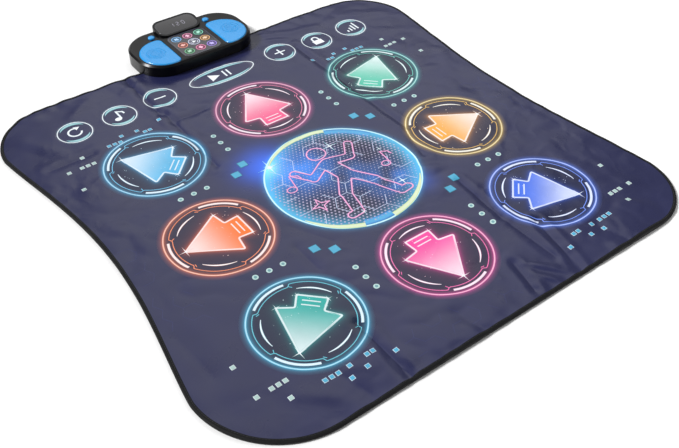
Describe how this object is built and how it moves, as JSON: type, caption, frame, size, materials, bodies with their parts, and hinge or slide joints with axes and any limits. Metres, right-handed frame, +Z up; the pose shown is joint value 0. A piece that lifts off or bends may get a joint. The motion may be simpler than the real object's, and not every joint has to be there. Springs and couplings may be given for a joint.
{
  "type": "dance rhythm machine",
  "caption": "Soft dance mat with printed arrow touch pads, function keys and a speaker control box clamped to its back edge.",
  "frame": {"origin": "on the floor under the centre of the printed centre disc, on the underside of the mat", "axes": "+X to the right of a player who faces the control box, +Y along the mat towards the control box, +Z up"},
  "size_m": [0.9, 1.01, 0.0409],
  "materials": {
    "printed_pvc": "satin printed PVC cloth",
    "grip_backing": "matte non-slip cloth with dots",
    "binding_tape": "matte woven tape",
    "contact_film": "polyester film with carbon print",
    "spacer_foam": "open sponge",
    "cushion_foam": "sponge sheet",
    "plated_steel": "zinc plated",
    "black_abs": "satin moulded ABS",
    "blue_abs": "glossy moulded ABS",
    "rubber": "matte",
    "circuit_board": "solder mask",
    "black_parts": "moulded",
    "white_plastic": "moulded",
    "smoked_acrylic": "smoked, polished",
    "led_epoxy": "clear",
    "speaker_steel": "pressed",
    "ferrite": "sintered",
    "speaker_paper": "pressed pulp",
    "cell_jacket": "printed jacket",
    "wire_jacket": "PVC"
  },
  "bodies": {
    "mat_and_box": {"top_cover": "printed_pvc", "bottom_cover": "grip_backing", "edge_binding": "binding_tape", "lower_film": "contact_film", "upper_film": "contact_film", "film_tail": "contact_film", "spacer": "spacer_foam", "foam": "cushion_foam", "clamp_bar": "plated_steel", "clamp_screws": "plated_steel", "case_screws": "plated_steel", "board_screws": "plated_steel", "speaker_screws": "plated_steel", "battery_contacts": "plated_steel", "battery_springs": "plated_steel", "bottom_shell": "black_abs", "top_shell": "black_abs", "speaker_cover_left": "blue_abs", "speaker_cover_right": "blue_abs", "rubber_feet": "rubber", "main_board": "circuit_board", "switch_boards": "circuit_board", "board_components": "black_parts", "tact_switches": "black_parts", "film_connector": "white_plastic", "light_baffle": "white_plastic", "display_module": "white_plastic", "indicator_panel": "smoked_acrylic", "display_lens": "smoked_acrylic", "indicator_leds": "led_epoxy", "speaker_frame_left": "speaker_steel", "speaker_frame_right": "speaker_steel", "speaker_magnet_left": "ferrite", "speaker_magnet_right": "ferrite", "speaker_cone_left": "speaker_paper", "speaker_cone_right": "speaker_paper", "batteries": "cell_jacket", "speaker_wires": "wire_jacket", "battery_wires": "wire_jacket"},
    "pad_up": {"pad_up": "printed_pvc"},
    "pad_down": {"pad_down": "printed_pvc"},
    "pad_left": {"pad_left": "printed_pvc"},
    "pad_right": {"pad_right": "printed_pvc"},
    "pad_up_left": {"pad_up_left": "printed_pvc"},
    "pad_up_right": {"pad_up_right": "printed_pvc"},
    "pad_down_left": {"pad_down_left": "printed_pvc"},
    "pad_down_right": {"pad_down_right": "printed_pvc"},
    "key_volume_down": {"key_volume_down": "printed_pvc"},
    "key_volume_up": {"key_volume_up": "printed_pvc"},
    "key_mode": {"key_mode": "printed_pvc"},
    "key_lock": {"key_lock": "printed_pvc"},
    "key_memory": {"key_memory": "printed_pvc"},
    "key_level": {"key_level": "printed_pvc"},
    "key_start_pause": {"key_start_pause": "printed_pvc"},
    "button_left": {"button_left": "blue_abs"},
    "button_right": {"button_right": "blue_abs"},
    "battery_door": {"battery_door": "black_abs", "door_screw": "plated_steel"}
  },
  "joints": [
    {"name": "pad_up_press", "type": "slide", "parent": "mat_and_box", "child": "pad_up", "axis": [0, 0, -1], "range_m": [0, 0.0012], "stiffness_N_per_m": 2500, "springref_m": -0.001},
    {"name": "pad_down_press", "type": "slide", "parent": "mat_and_box", "child": "pad_down", "axis": [0, 0, -1], "range_m": [0, 0.0012], "stiffness_N_per_m": 2500, "springref_m": -0.001},
    {"name": "pad_left_press", "type": "slide", "parent": "mat_and_box", "child": "pad_left", "axis": [0, 0, -1], "range_m": [0, 0.0012], "stiffness_N_per_m": 2500, "springref_m": -0.001},
    {"name": "pad_right_press", "type": "slide", "parent": "mat_and_box", "child": "pad_right", "axis": [0, 0, -1], "range_m": [0, 0.0012], "stiffness_N_per_m": 2500, "springref_m": -0.001},
    {"name": "pad_up_left_press", "type": "slide", "parent": "mat_and_box", "child": "pad_up_left", "axis": [0, 0, -1], "range_m": [0, 0.0012], "stiffness_N_per_m": 2500, "springref_m": -0.001},
    {"name": "pad_up_right_press", "type": "slide", "parent": "mat_and_box", "child": "pad_up_right", "axis": [0, 0, -1], "range_m": [0, 0.0012], "stiffness_N_per_m": 2500, "springref_m": -0.001},
    {"name": "pad_down_left_press", "type": "slide", "parent": "mat_and_box", "child": "pad_down_left", "axis": [0, 0, -1], "range_m": [0, 0.0012], "stiffness_N_per_m": 2500, "springref_m": -0.001},
    {"name": "pad_down_right_press", "type": "slide", "parent": "mat_and_box", "child": "pad_down_right", "axis": [0, 0, -1], "range_m": [0, 0.0012], "stiffness_N_per_m": 2500, "springref_m": -0.001},
    {"name": "key_volume_down_press", "type": "slide", "parent": "mat_and_box", "child": "key_volume_down", "axis": [0, 0, -1], "range_m": [0, 0.0012], "stiffness_N_per_m": 1200, "springref_m": -0.001},
    {"name": "key_volume_up_press", "type": "slide", "parent": "mat_and_box", "child": "key_volume_up", "axis": [0, 0, -1], "range_m": [0, 0.0012], "stiffness_N_per_m": 1200, "springref_m": -0.001},
    {"name": "key_mode_press", "type": "slide", "parent": "mat_and_box", "child": "key_mode", "axis": [0, 0, -1], "range_m": [0, 0.0012], "stiffness_N_per_m": 1200, "springref_m": -0.001},
    {"name": "key_lock_press", "type": "slide", "parent": "mat_and_box", "child": "key_lock", "axis": [0, 0, -1], "range_m": [0, 0.0012], "stiffness_N_per_m": 1200, "springref_m": -0.001},
    {"name": "key_memory_press", "type": "slide", "parent": "mat_and_box", "child": "key_memory", "axis": [0, 0, -1], "range_m": [0, 0.0012], "stiffness_N_per_m": 1200, "springref_m": -0.001},
    {"name": "key_level_press", "type": "slide", "parent": "mat_and_box", "child": "key_level", "axis": [0, 0, -1], "range_m": [0, 0.0012], "stiffness_N_per_m": 1200, "springref_m": -0.001},
    {"name": "key_start_pause_press", "type": "slide", "parent": "mat_and_box", "child": "key_start_pause", "axis": [0, 0, -1], "range_m": [0, 0.0012], "stiffness_N_per_m": 1200, "springref_m": -0.001},
    {"name": "button_left_press", "type": "slide", "parent": "mat_and_box", "child": "button_left", "axis": [0, 0, -1], "range_m": [0, 0.0005], "stiffness_N_per_m": 800, "springref_m": -0.0005},
    {"name": "button_right_press", "type": "slide", "parent": "mat_and_box", "child": "button_right", "axis": [0, 0, -1], "range_m": [0, 0.0005], "stiffness_N_per_m": 800, "springref_m": -0.0005},
    {"name": "battery_door_slide", "type": "slide", "parent": "mat_and_box", "child": "battery_door", "axis": [0, 1, 0], "range_m": [0, 0.05]}
  ]
}
